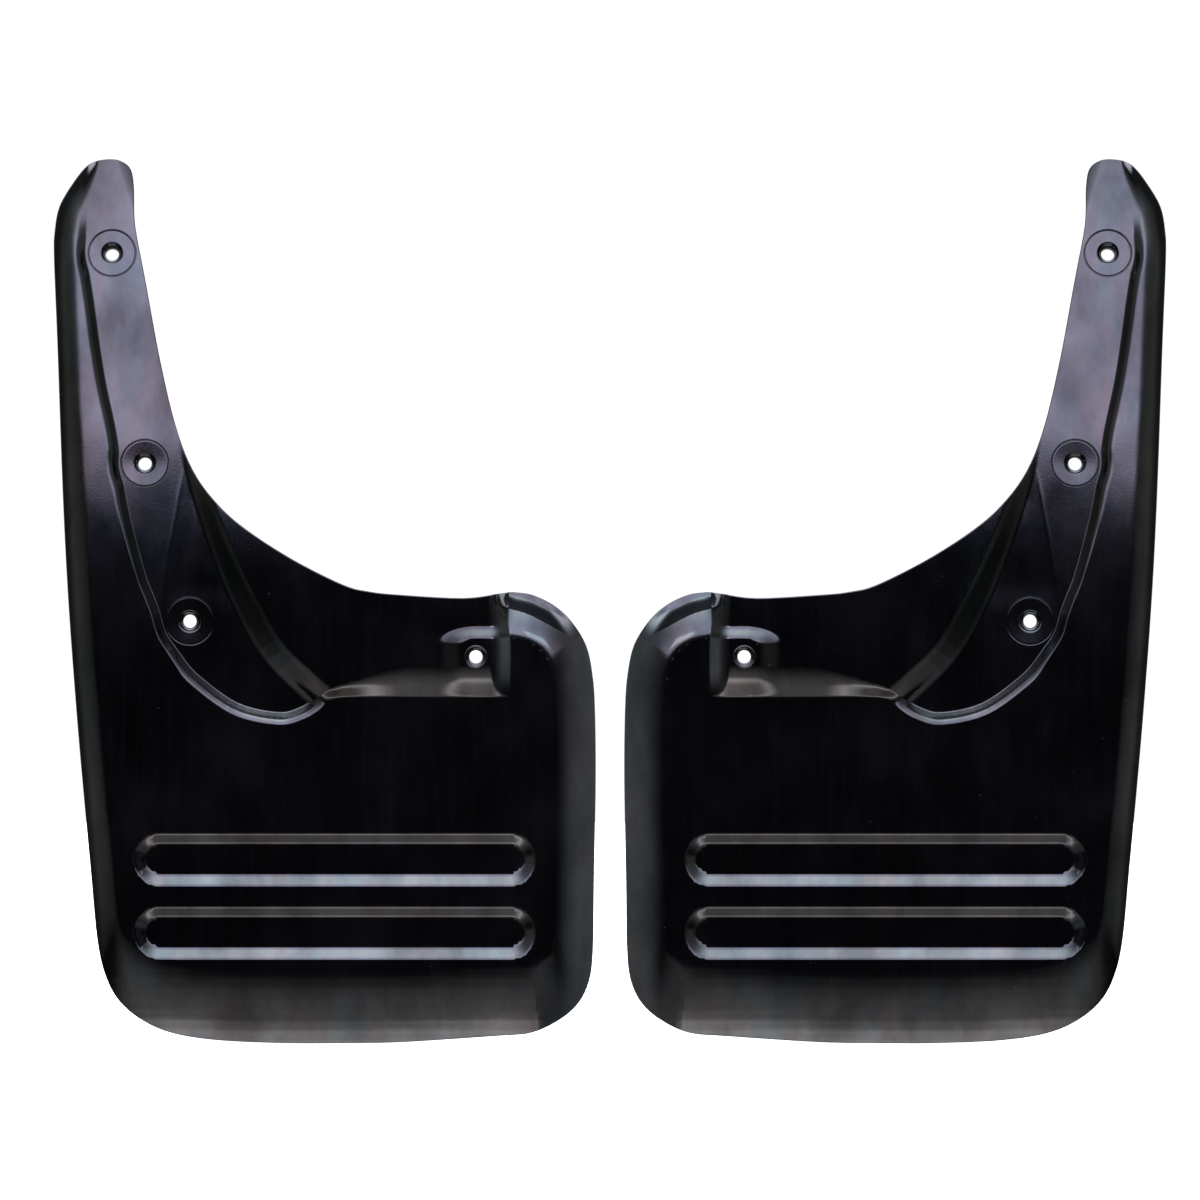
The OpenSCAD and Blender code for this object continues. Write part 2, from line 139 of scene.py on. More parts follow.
def from_line(p, line, closed=False):
    """Vector from the line's nearest point, the distance and the side, for each point."""
    a = line if closed else line[:-1]
    b = np.roll(line, -1, 0) if closed else line[1:]
    ab = b - a
    ll = np.maximum((ab * ab).sum(1), 1e-12)
    best = np.full(len(p), 1e18)
    vec = np.zeros_like(p)
    side = np.zeros(len(p))
    for k in range(len(a)):
        e = p - a[k]
        t = clamp((e @ ab[k]) / ll[k])
        v = e - t[:, None] * ab[k]
        d2 = (v * v).sum(1)
        m = d2 < best
        best[m] = d2[m]
        vec[m] = v[m]
        side[m] = (ab[k][0] * e[m, 1] - ab[k][1] * e[m, 0])
    return vec, np.sqrt(best), np.sign(side)


def inside(p, loop):
    """Which points lie inside the loop."""
    a, b = loop, np.roll(loop, -1, 0)
    hit = np.zeros(len(p), bool)
    for (x1, y1), (x2, y2) in zip(a, b):
        if y1 == y2:
            continue
        hit ^= ((y1 > p[:, 1]) != (y2 > p[:, 1])) & (p[:, 0] < (x2 - x1) * (p[:, 1] - y1) / (y2 - y1) + x1)
    return hit


# ---------------------------------------------------------------- the front face
def lean(z):
    return np.where(z > LEAN_FROM, (z - LEAN_FROM) ** 2 / (2 * LEAN_R), 0.0)


def rim_share(p):
    """1 on the rim, falling to 0 over the width of the rolled edge."""
    d = np.ones(len(p))
    for low in (True, False):
        for inboard in (True, False):
            pick = ((p[:, 1] < 130) == low) & ((p[:, 0] < 150) == inboard)
            if pick.any():
                across = W_IN if inboard else W_OUT
                w = np.array((across, W_BOT if low else W_DOME if inboard else W_OUT))
                d[pick] = from_line(p[pick] / w, RIM_C / w)[1]
    return clamp(1 - d)


def roll(p):
    """How far the rolled rim turns back, as a height at or below 0."""
    t = rim_share(p)
    # the bottom corners and the dome are evened out, because the rim's distance has a ridge there
    corner = (p[:, 1] < 75) & ((p[:, 0] < 75) | (p[:, 0] > 225)) | (p[:, 1] > 195) & (p[:, 0] < 64)
    corner &= (t > 0) & (t < 0.75)
    q = p[corner]
    around = ((3, 0), (-3, 0), (0, 3), (0, -3), (2, 2), (-2, 2), (2, -2), (-2, -2))
    near = [rim_share(q + step) for step in around]
    soft = (sum(near) + t[corner]) / 9
    t[corner] = mix(soft, t[corner], smooth((t[corner] - 0.45) / 0.3))
    return -ROLL * t * t * (1.3 - 0.3 * t)


def box_dist(p, c, h, r):
    """Distance outside a rounded box of centre c, half size h and corner radius r."""
    q = np.abs(p - np.array(c)) - np.array(h) + r
    return np.hypot(np.maximum(q[:, 0], 0), np.maximum(q[:, 1], 0)) + np.minimum(q.max(1), 0) - r


# each feature rises or falls along a band that starts where its distance is 0 and ends at its width
PAD_W, LIP_W, CH_W, SIDE_W, WALL_W, FLANGE_W = 4.6, 7.5, CH_HALF - CH_FLOOR, 8.0, 4.4, 13.0


def pad_dist(p):
    # its side towards the arm is longer and gentler
    u = np.minimum(p[:, 0], mix(80, p[:, 0], 0.44))
    return -box_dist(np.column_stack([u, p[:, 1]]), (68.6, 212.5), (18, 21.5), 9)


def channel_dist(p, zc):
    a, b = CHANNEL_ENDS[0] + CH_HALF, CHANNEL_ENDS[1] - CH_HALF
    return CH_HALF - np.hypot(p[:, 0] - clamp(p[:, 0], a, b), p[:, 1] - zc)


def lip_dist(p):
    _, d, side = from_line(p, CREASE_C)
    near = (p[:, 0] < 64) & (p[:, 1] > 212)
    return np.where(near, np.where(side < 0, d, -d), -50.0)


def slope_dist(p):
    _, d, _ = from_line(p, FOOT_C)
    return np.where(inside(p, FLANGE_SIDE), d, -d) - 0.5


def slope_width(p):
    return mix(12.0, 7.0, clamp((p[:, 1] - 210) / 115))


def flange_edge(z):
    """Where the flange's inboard side starts."""
    return 56 + 1.4 * smooth((z - 225) / 14)


def wall_dist(p):
    """Distance past the wall's start, and the wall's width."""
    _, d, _ = from_line(p, WALL_C)
    arm = smooth((p[:, 0] - 150) / 15)
    sd = np.where(inside(p, INSIDE), d, -d)
    # the wall stands clear of the washer seats
    for name in ("top", "middle", "bottom"):
        c = SEATS[name]
        clear = 17.0 - np.hypot(p[:, 0] - c[0], p[:, 1] - c[1])
        sd = np.maximum(sd, clear) + np.maximum(4 - np.abs(sd - clear), 0) ** 2 / 16
    # the flange's corner: the inboard side is narrower than the lower side
    in_side, in_low = (p[:, 0] - flange_edge(p[:, 1])) / SIDE_W, (p[:, 1] - FLANGE_LOW) / FLANGE_W
    corner = 1 - np.hypot(np.maximum(1 - in_side, 0), np.maximum(1 - in_low, 0))
    corner = corner + np.maximum(np.minimum(in_side, in_low) - 1, 0)
    sd = np.where(p[:, 0] < 105, corner * FLANGE_W, sd + 1.6 * arm)
    return sd, mix(FLANGE_W, WALL_W, smooth((p[:, 0] - 108) / 56))


def waves(p):
    """Slight unevenness of the moulding."""
    rng = np.random.default_rng(7)
    out = np.zeros(len(p))
    for _ in range(14):
        length = rng.uniform(24, 80)
        a = rng.uniform(0, 2 * math.pi)
        phase = rng.uniform(0, 2 * math.pi)
        along = p[:, 0] * math.cos(a) + 0.6 * p[:, 1] * math.sin(a)
        out += 0.0004 * length * np.sin(2 * math.pi * along / length + phase)
    return out * mix(0.7, 1.8, smooth((p[:, 1] - 240) / 120))


def height(p):
    """Height of the front face above the panel's plane."""
    u, z = p[:, 0], p[:, 1]
    base = roll(p)
    beyond = lip_dist(p)
    lip_share = ramp(beyond, LIP_W, 0.7) * smooth((u - 18) / 16)
    plain = mix(base, np.minimum(base, -LIP - 0.18 * np.maximum(beyond - LIP_W, 0)), lip_share)
    for zc in CHANNELS:
        plain = plain - CH_DEPTH * ramp(channel_dist(p, zc), CH_W, 0.6)
    # towards its tip the arm's outboard strip comes down to the recess
    plain = plain - POCKET * smooth((z - 438) / 36) * smooth((u - 250) / 20)
    flange = mix(RISE, -0.5, smooth((u - 165) / 75)) + PAD * ramp(pad_dist(p), PAD_W, 1.3)
    floor = -POCKET - 0.03 * np.maximum(z - 470, 0) + floor_crease(p)
    share = ramp(slope_dist(p), slope_width(p), 2.2) * smooth((352 - z) / 40)
    wall_at, wall_w = wall_dist(p)
    arm = smooth((u - 150) / 15)
    crest = mix(1.9, 0.4, smooth((z - 204) / 24)) + 1.2 * smooth((z - 250) / 60)
    wall = ramp(wall_at, wall_w, mix(0.5, crest, arm), mix(6.0, 0.45, smooth((u - 108) / 56)))
    # round the flange's corner the two sides' ramps multiply, so that no crease runs up the corner
    corner = ramp(u - flange_edge(z), SIDE_W, 0.5, 3.5) * ramp(z - FLANGE_LOW, FLANGE_W, 0.5, 6.0)
    wall = np.where(u < 105, corner, wall)
    h = mix(plain, mix(floor, flange, share), wall)
    # the arm's end folds back along its inner corner
    a, b = np.array((277.6, 494.0)), np.array((268.6, 466.5))
    along = b - a
    past = (along[0] * (z - a[1]) - along[1] * (u - a[0])) / np.linalg.norm(along)
    h = h - np.where(z > 462, 3 * clamp(-past / 8, 0, 2) ** 1.4, 0.0)
    # faint ripples across the bottom roll
    h = h + 0.012 * np.sin(z * 1.05 + 0.4 * np.sin(u / 23)) * smooth((52 - z) / 12)
    return h + waves(p)


def floor_crease(p):
    """Thin raised line down the recess, with the floor outboard of it a little lower."""
    _, d, side = from_line(p, FLOOR_C)
    span = smooth((330 - p[:, 1]) / 25) * smooth((p[:, 1] - 240) / 20)
    return span * (0.1 * np.exp(-(d / 1.1) ** 2) - 0.35 * ramp(-side * d, 9.0, 2.0))


def face_y(p):
    return lean(p[:, 1]) - height(p)


def face(p):
    """Depth and slopes of the front face, and the wall's thickness along y."""
    e = 0.12  # half the step that the slopes are measured over
    y = face_y(p)
    gu = (face_y(p + (e, 0)) - face_y(p - (e, 0))) / (2 * e)
    gz = (face_y(p + (0, e)) - face_y(p - (0, e))) / (2 * e)
    return y, gu, gz, WALL * np.minimum(np.sqrt(1 + gu * gu + gz * gz), 1.7)


# ---------------------------------------------------------------- a grid fitted to the outline and the features
def steps(*spans):
    """Values over spans of (from, to, step)."""
    out = []
    for a, b, s in spans:
        n = max(1, round((b - a) / s))
        out += [a + (b - a) * k / n for k in range(n)]
    return np.array(out + [spans[-1][1]])


def domain(p):
    """Distance inside the outline and outside the seats' holes."""
    _, d, _ = from_line(p, OUTLINE, True)
    sd = np.where(inside(p, OUTLINE), d, -d) - EDGE_IN
    for name, c in SEATS.items():
        r = INNER_SEAT_R - 0.1 if name == "inner" else SEAT_R - 0.2
        sd = np.minimum(sd, np.hypot(p[:, 0] - c[0], p[:, 1] - c[1]) - r)
    return sd


def in_recess(p, d):
    """The distance d where the point is past the wall, and far away elsewhere."""
    return np.where(wall_dist(p)[0] > 1.0, d, -50.0)


def on_section(p):
    """Distances to the lines that the section's grid points move onto."""
    pad, slope, lip = pad_dist(p), in_recess(p, slope_dist(p)), lip_dist(p)
    return [pad, pad - PAD_W, slope, slope - slope_width(p), lip, lip - LIP_W]


def on_panel(p):
    """The same for the panel's grid: the channels' upper and lower bends."""
    return [channel_dist(p, zc) - d for zc in CHANNELS for d in (0, CH_W)]


def crossings(sd, taken, reach):
    """Marks the grid points to move onto the line sd = 0: the nearer end of each edge that it crosses."""
    pick = np.zeros(sd.shape, bool)
    for axis in (0, 1):
        lo = tuple(slice(0, -1) if k == axis else slice(None) for k in (0, 1))
        hi = tuple(slice(1, None) if k == axis else slice(None) for k in (0, 1))
        a, b = sd[lo], sd[hi]
        cross = ((a > 0) != (b > 0)) & (np.abs(a - b) < reach)
        first = cross & (np.abs(a) <= np.abs(b))
        pick[lo] |= first
        pick[hi] |= cross & ~first
    return pick & ~taken


def snap(p, pick, dist, rounds=3):
    """Moves the picked points onto the line where dist is 0."""
    ids = np.flatnonzero(pick.ravel())
    q = p[ids]
    e = 0.02
    for _ in range(rounds):
        d = dist(q)
        g = np.stack([dist(q + (e, 0)) - d, dist(q + (0, e)) - d], 1) / e
        n = np.linalg.norm(g, axis=1)
        ok = (n > 0.3) & (n < 3)
        q = q - np.where(ok, clamp(d, -1.2, 1.2), 0.0)[:, None] * g / np.maximum(n, 1e-6)[:, None]
    p[ids] = q


def resample(line, n):
    """n + 1 points at equal steps along a line."""
    at = np.r_[0, np.cumsum(np.linalg.norm(np.diff(line, axis=0), axis=1))]
    t = np.linspace(0, at[-1], n + 1)
    return np.column_stack([np.interp(t, at, line[:, 0]), np.interp(t, at, line[:, 1])])


def stations(k):
    """The section's three lines: arch edge, wall, outer edge. And how many stations end on the bend line."""
    rim, arch, wall = RIM_C[::-1], spline(ARCH), WALL_C[::-1]
    dome, bend, arm = round(36 / k), round(88 / k), round(170 / k)
    flange = steps((52.5, 64, 0.7 * k), (64, 89, 1.5 * k), (89, 97, 1.0 * k), (97, 150, 2.2 * k))[1:]
    t = np.arange(dome + 1) / dome
    low = np.column_stack([8 + 44.5 * t, np.full(dome + 1, BEND_TOP)])
    dome_in = resample(np.vstack([rim[(rim[:, 0] < 52) & (rim[:, 1] > 208)], (52.5, 254.1)]), dome)
    dome_wall = np.column_stack([9 + 43.5 * t, mix(189, FLANGE_LOW, smooth(3 * t))])
    out_u = float(np.interp(BEND_TOP, *RIM_C[RIM_C[:, 0] > 290][:, ::-1].T))
    above = (RIM_C[:, 0] > 290) & (RIM_C[:, 1] > BEND_TOP + 4) & (RIM_C[:, 1] < 488)
    rise = np.vstack([(out_u, BEND_TOP), RIM_C[above]])
    flange_in = np.column_stack([flange, np.interp(flange, *arch[arch[:, 0] < 200].T)])
    bend_in = resample(arch[(arch[:, 0] >= 150) & (arch[:, 1] <= 323)], bend)[1:]
    arm_in = resample(arch[(arch[:, 1] >= 323) & (arch[:, 0] <= 277)], arm)[1:]
    wall_bend = resample(wall[(wall[:, 0] >= 150) & (wall[:, 1] <= 250.5)], bend)[1:]
    high = wall[(wall[:, 0] > 200) & (wall[:, 1] >= 250.5) & (wall[:, 1] < 459)]
    wall_arm = resample(np.vstack([high, [(298, 470), (294.5, 484), (291.5, 498.4)]]), arm)[1:]
    inner = np.vstack([dome_in, flange_in, bend_in, arm_in])
    flange_wall = np.column_stack([flange, np.full(len(flange), FLANGE_LOW)])
    middle = np.vstack([dome_wall, flange_wall, wall_bend, wall_arm])
    outer = np.vstack([low, np.column_stack([flange, np.full(len(flange), BEND_TOP)]),
                       np.column_stack([np.linspace(150, out_u, bend + 1)[1:], np.full(bend, BEND_TOP)]),
                       resample(rise, arm)[1:]])
    return inner, middle, outer, dome + len(flange) + bend


def section_grid(k):
    """Grid over the mounting section, with rows that follow both bends of the wall."""
    inner, middle, outer, n_low = stations(k)
    to_in, to_out = inner - middle, outer - middle
    to_in /= np.linalg.norm(to_in, axis=1)[:, None]
    to_out /= np.linalg.norm(to_out, axis=1)[:, None]
    follow = (middle[:, 0] > 64) & (middle[:, 1] < 462)
    arm = smooth((middle[:, 0] - 150) / 15)
    # each row's distance past the wall's start: along the flange, and up the arm
    rows_at = ((-1.2, -2.6), (-0.6, -1.3), (0, -0.6), (0.6, 0), (1.6, 0.7), (2.7, 1.4), (4.0, 2.6), (5.6, 3.9),
               (7.4, 4.4), (9.6, 4.9), (12.4, 5.8))
    band = []
    for low, high in rows_at:
        t = mix(low, high, arm)
        q = middle + np.where((t > 0)[:, None], to_in, to_out) * np.abs(t)[:, None]
        for _ in range(6):
            step = clamp(t - wall_dist(q)[0], -2, 2)
            q = q + np.where(follow, step, 0)[:, None] * to_in
        band.append(q)
    n_out, n_in = round(14 / k), round(52 / k)
    rows = [mix(outer, band[0], i / n_out) for i in range(n_out)] + band
    rows += [mix(band[-1], inner, (i + 1) / n_in) for i in range(n_in)]
    return np.stack(rows, 1), n_low


def panel_grid(us, k):
    """Upright grid over the lower panel, its rows closest at the channels' bends."""
    zs = [-1.5]
    for zc in sorted(CHANNELS):
        for edge in (zc - CH_HALF, zc - CH_FLOOR, zc + CH_FLOOR, zc + CH_HALF):
            for z in (edge - 0.9, edge, edge + 0.9):
                n = max(1, round((z - 1.2 * k - zs[-1]) / (2.0 * k)) + 1) if z - zs[-1] > 1.5 * k else 1
                zs += list(np.linspace(zs[-1], z, n + 1)[1:])
    zs += list(np.linspace(zs[-1], BEND_TOP, round(16 / k) + 1)[1:])
    return np.stack(np.meshgrid(us, zs, indexing="ij"), -1)


def fit(grid, fixed, lines):
    """Moves grid points onto the outline, the seats' holes and the features' lines.

    Returns which points are on an edge, and each point's distance inside as it was before the move.
    """
    shape = grid.shape[:2]
    p = grid.reshape(-1, 2)
    sd = domain(p).reshape(shape)
    edge = crossings(sd, fixed, 9.0)
    snap(p, edge, domain)
    taken = edge | fixed
    for i, line in enumerate(lines(p)):
        pick = crossings(line.reshape(shape), taken, 6.0) & (sd > -3.0)
        snap(p, pick, lambda q, i=i: lines(q)[i])
        taken |= pick
    return edge, sd


def grid_quads(ids):
    """The quads between the neighbours of a grid of point numbers."""
    return np.stack([ids[:-1, :-1], ids[1:, :-1], ids[1:, 1:], ids[:-1, 1:]], -1).reshape(-1, 4)


def mend(p, quads, free):
    """Evens out the free points of quads that the fitting folded over."""
    for _ in range(12):
        q = p[quads]
        e = np.roll(q, -1, 1) - q
        turn = e[:, :, 0] * np.roll(e, -1, 1)[:, :, 1] - e[:, :, 1] * np.roll(e, -1, 1)[:, :, 0]
        bad = quads[turn.min(1) < 1e-4]
        ids = np.unique(bad[free[bad]])
        if not len(ids):
            return
        total, count = np.zeros_like(p), np.zeros(len(p))
        for a, b in ((0, 1), (1, 2), (2, 3), (3, 0)):
            for i, j in ((a, b), (b, a)):
                np.add.at(total, quads[:, i], p[quads[:, j]])
                np.add.at(count, quads[:, i], 1)
        p[ids] = total[ids] / count[ids][:, None]


def make_grid():
    """Plane points and faces of one flap."""
    k = 1.0
    section, n_low = section_grid(k)
    ns, nr = section.shape[:2]
    rim = np.zeros((ns, nr), bool)
    rim[0], rim[-1], rim[:, -1], rim[n_low:, 0] = True, True, True, True
    snap(section.reshape(-1, 2), rim, domain)
    low = np.zeros((ns, nr), bool)
    low[: n_low + 1, 0] = True
    edge_s, sd_s = fit(section, rim | low, on_section)
    edge_s |= rim
    panel = panel_grid(section[: n_low + 1, 0, 0], k)
    nz = panel.shape[1]
    top = np.zeros(panel.shape[:2], bool)
    top[:, -1] = True
    edge_p, sd_p = fit(panel, top, on_panel)
    edge_p[0, -1] = edge_p[-1, -1] = True
    sd_p[:, -1] = 1.0
    sd_s[: n_low + 1, 0] = 1.0

    p = np.vstack([section.reshape(-1, 2), panel.reshape(-1, 2)])
    # 0 on an edge, 1 inside, -1 outside
    state = np.concatenate([np.where(e, 0, np.where(d > 0, 1, -1)).ravel()
                            for e, d in ((edge_s, sd_s), (edge_p, sd_p))])
    ids_s = np.arange(ns * nr).reshape(ns, nr)
    ids_p = ns * nr + np.arange((n_low + 1) * nz).reshape(n_low + 1, nz)
    ids_p[:, -1] = ids_s[: n_low + 1, 0]
    # the section's rows run inwards from its outer edge, which turns its faces the same way as the panel's
    quads = np.vstack([grid_quads(ids_s), grid_quads(ids_p)])
    out = (state[quads] < 0).sum(1)
    mend(p, quads[out == 0], state > 0)
    whole = quads[out == 0]
    whole = whole[domain(p[whole].mean(1)) > 0.03]
    # a quad is cut along the diagonal that follows the face better
    y = face_y(p)
    mid = face_y(p[whole].mean(1))
    d02 = np.abs((y[whole[:, 0]] + y[whole[:, 2]]) / 2 - mid)
    d13 = np.abs((y[whole[:, 1]] + y[whole[:, 3]]) / 2 - mid)
    flat = np.maximum(d02, d13) < 0.012
    faces = [list(f) for f in whole[flat]]
    for f, first in zip(whole[~flat], (d02 <= d13)[~flat]):
        c = f if first else np.roll(f, -1)
        faces += [[c[0], c[1], c[2]], [c[0], c[2], c[3]]]
    tris = []
    for f in quads[out == 1]:
        first = int(np.where(state[f] < 0)[0][0])
        tris.append([f[(first + 1) % 4], f[(first + 2) % 4], f[(first + 3) % 4]])
    tris = np.array(tris)
    tris = tris[domain(p[tris].mean(1)) > 0.02]
    faces += [list(f) for f in tris]
    used = np.unique(np.concatenate([np.ravel(f) for f in faces]))
    new = np.full(len(p), -1)
    new[used] = np.arange(len(used))
    return p[used], [[int(new[i]) for i in f] for f in faces]


def edge_loops(faces):
    """Directed boundary edges, as the faces run."""
    seen = {(a, b): True for f in faces for a, b in zip(f, f[1:] + f[:1])}
    return [(a, b) for (a, b) in seen if (b, a) not in seen]


def build_flap():
    """The right flap's vertices (mm), faces and normals."""
    p, faces = make_grid()
    y, gu, gz, wall = face(p)
    n = len(p)
    front = np.column_stack([p[:, 0], y, p[:, 1]])
    back = np.column_stack([p[:, 0], y + wall, p[:, 1]])
    nf = np.column_stack([gu, -np.ones(n), gz])
    nf /= np.linalg.norm(nf, axis=1)[:, None]
    rims = edge_loops(faces)
    on = sorted({i for e in rims for i in e})
    index = {v: k for k, v in enumerate(on)}
    q = p[on]
    e = 0.02
    s = domain(q)
    g = -np.stack([(domain(q + (e, 0)) - s) / e, (domain(q + (0, e)) - s) / e], 1)
    g /= np.maximum(np.linalg.norm(g, axis=1), 1e-6)[:, None]
    out3 = np.column_stack([g[:, 0], np.zeros(len(q)), g[:, 1]])
    # two rings of points between the front and the back round the edge off
    depth = np.minimum(0.55, 0.3 * (back[on, 1] - front[on, 1]))
    depth = np.column_stack([np.zeros(len(q)), depth, np.zeros(len(q))])
    ring1 = front[on] + out3 * EDGE_IN + depth
    ring2 = back[on] + out3 * EDGE_IN - depth
    verts = np.vstack([front, back, ring1, ring2])
    normals = np.vstack([nf, -nf, out3 * 0.85 + nf[on] * 0.5, out3 * 0.85 - nf[on] * 0.5])
    normals /= np.linalg.norm(normals, axis=1)[:, None]
    polys = [list(f) for f in faces] + [[i + n for i in reversed(f)] for f in faces]
    r1, r2 = 2 * n, 2 * n + len(on)
    for a, b in rims:
        ia, ib = index[a], index[b]
        polys.append([b, a, r1 + ia, r1 + ib])
        polys.append([r1 + ib, r1 + ia, r2 + ia, r2 + ib])
        polys.append([r2 + ib, r2 + ia, n + a, n + b])
    return verts, polys, normals


def mesh_object(name, verts, polys, mat):
    """A smooth mesh object from verts in metres."""
    me = bpy.data.meshes.new(name)
    me.from_pydata(verts.tolist(), [], polys)
    me.polygons.foreach_set("use_smooth", [True] * len(me.polygons))
    me.update()
    me.materials.append(mat)
    ob = bpy.data.objects.new(name, me)
    bpy.context.scene.collection.objects.link(ob)
    return ob


def make_skin(name, verts, polys, normals, side, mat):
    """verts in mm with y from the panel's face; side -1 makes the left-hand one."""
    v = (verts + (0, MID_Y, 0)) * (side * MM, MM, MM)
    # the grid's faces run so that the right-hand flap's shown side looks along -y
    p = polys if side > 0 else [list(reversed(f)) for f in polys]
    ob = mesh_object(name, v, p, mat)
    ob.data.normals_split_custom_set_from_vertices((normals * (side, 1, 1)).tolist())
    return ob


def lathe(profile, seg=96):
    """Closed ring of (radius, height) points turned about its axis: vertices and faces."""
    m = len(profile)
    turns = np.arange(seg) * 2 * math.pi / seg
    verts = np.array([(r * math.cos(a), r * math.sin(a), h) for a in turns for r, h in profile])
    polys = []
    for i in range(seg):
        this, after = i * m, (i + 1) % seg * m
        polys += [[this + k, this + (k + 1) % m, after + (k + 1) % m, after + k] for k in range(m)]
    return verts, polys


def seat_profile(kind):
    """(radius, height) points of a seat, its height from the face that it sits in."""
    if kind == "inner":
        return [(BORE_R, -SEAT_DEPTH), (BORE_R, -0.9), (4.6, -0.85), (5.1, -0.55), (5.35, -0.1), (5.6, 0.12),
                (5.95, 0.2), (6.3, 0.12), (INNER_SEAT_R, -0.1), (INNER_SEAT_R, -SEAT_DEPTH)]
    pts = [(BORE_R, -SEAT_DEPTH), (BORE_R, -2.6), (BORE_R + 0.2, -2.2), (4.5, -2.0), (5.1, -1.8), (5.5, -1.2),
           (5.8, -0.6), (6.1, -0.38), (6.6, -0.3)]
    # fine turned rings
    for k in range(1, 28):
        r = 6.6 + (12.6 - 6.6) * k / 28
        pts.append((r, mix(-0.3, -0.08, (r - 6.6) / 6) + 0.01 * math.sin(r * 2 * math.pi / 0.66)))
    # the ring line and the seat's foot
    pts += [(12.7, -0.1), (12.95, -0.34), (13.15, -0.36), (13.3, 0.0), (13.5, 0.3), (13.75, 0.34), (13.95, 0.1),
            (SEAT_R, -0.2), (SEAT_R, -3.0), (9.5, -3.0), (9.5, -SEAT_DEPTH)]
    return pts


def make_seat(name, kind, side, mat):
    verts, polys = lathe(seat_profile(kind))
    u, z = SEATS[kind]
    lift = RISE + PAD if kind == "inner" else -POCKET
    tilt = math.atan((z - LEAN_FROM) / LEAN_R) if z > LEAN_FROM else 0.0
    up = np.array((0.0, -math.cos(tilt), math.sin(tilt)))
    across = np.array((1.0, 0.0, 0.0))
    centre = np.array((side * u, float(lean(np.array(z))) - lift + MID_Y, z))
    v = centre + verts @ np.array((across, np.cross(up, across), up))
    ob = mesh_object(name, v * MM, polys, mat)
    bpy.context.view_layer.objects.active = ob
    ob.select_set(True)
    bpy.ops.object.shade_smooth_by_angle(angle=math.radians(40))
    ob.select_set(False)
    return ob


# ---------------------------------------------------------------- materials
def rubber(name, shade):
    """Glossy black rubber. shade is the base colour's level under the dust."""
    m = bpy.data.materials.new(name)
    m.use_nodes = True
    nt = m.node_tree
    bsdf = nt.nodes["Principled BSDF"]
    co = nt.nodes.new("ShaderNodeTexCoord").outputs["Object"]

    def noise(scale, detail=3.0, rough=0.5, stretch=None):
        src = co
        if stretch:
            mp = nt.nodes.new("ShaderNodeMapping")
            mp.inputs["Scale"].default_value = stretch
            nt.links.new(co, mp.inputs["Vector"])
            src = mp.outputs["Vector"]
        n = nt.nodes.new("ShaderNodeTexNoise")
        n.inputs["Scale"].default_value = scale
        n.inputs["Detail"].default_value = detail
        n.inputs["Roughness"].default_value = rough
        nt.links.new(src, n.inputs["Vector"])
        return n.outputs["Fac"]

    def span(fac, a, b, lo, hi):
        r = nt.nodes.new("ShaderNodeMapRange")
        r.inputs["From Min"].default_value = a
        r.inputs["From Max"].default_value = b
        r.inputs["To Min"].default_value = lo
        r.inputs["To Max"].default_value = hi
        nt.links.new(fac, r.inputs["Value"])
        return r.outputs["Result"]

    def math_node(op, a, b):
        n = nt.nodes.new("ShaderNodeMath")
        n.operation = op
        for sock, v in zip(n.inputs, (a, b)):
            if isinstance(v, (int, float)):
                sock.default_value = v
            else:
                nt.links.new(v, sock)
        return n.outputs[0]

    smudge = noise(16, 4, 0.6)
    grain = noise(900, 2, 0.5)
    streak = noise(60, 3, 0.6, (6.0, 1.0, 0.35))
    specks = span(noise(420, 2, 0.5), 0.755, 0.80, 0.0, 1.0)
    dust = math_node("MULTIPLY", specks, 0.03)
    haze = span(streak, 0.45, 0.75, 0.0, 0.0008)
    value = math_node("ADD", math_node("ADD", dust, haze), shade)
    comb = nt.nodes.new("ShaderNodeCombineColor")
    nt.links.new(value, comb.inputs[0])
    nt.links.new(value, comb.inputs[1])
    nt.links.new(math_node("MULTIPLY", value, 1.15), comb.inputs[2])
    nt.links.new(comb.outputs[0], bsdf.inputs["Base Color"])
    rough = math_node("ADD", span(smudge, 0.3, 0.7, 0.07, 0.15), span(grain, 0.3, 0.7, -0.01, 0.015))
    nt.links.new(rough, bsdf.inputs["Roughness"])
    bump = nt.nodes.new("ShaderNodeBump")
    bump.inputs["Strength"].default_value = 0.05
    bump.inputs["Distance"].default_value = 0.0002
    nt.links.new(math_node("ADD", grain, math_node("MULTIPLY", smudge, 2.0)), bump.inputs["Height"])
    nt.links.new(bump.outputs["Normal"], bsdf.inputs["Normal"])
    # long soft blotches, in tint and in brightness, as handling leaves them
    blotch = noise(24, 4, 0.6, (1.6, 1.0, 0.9))
    tint = nt.nodes.new("ShaderNodeValToRGB")
    tint.color_ramp.elements[0].position, tint.color_ramp.elements[0].color = 0.36, (0.84, 0.93, 1.0, 1)
    tint.color_ramp.elements[1].position, tint.color_ramp.elements[1].color = 0.64, (1.0, 0.92, 0.96, 1)
    nt.links.new(noise(30, 3, 0.55, (1.8, 1.0, 0.6)), tint.inputs[0])
    nt.links.new(tint.outputs[0], bsdf.inputs["Specular Tint"])
    nt.links.new(span(blotch, 0.34, 0.66, 0.36, 0.66), bsdf.inputs["Specular IOR Level"])
    bsdf.inputs["IOR"].default_value = 1.5
    return m


mat_flap = rubber("flap_rubber", 0.0003)
mat_seat = rubber("seat_rubber", 0.0008)

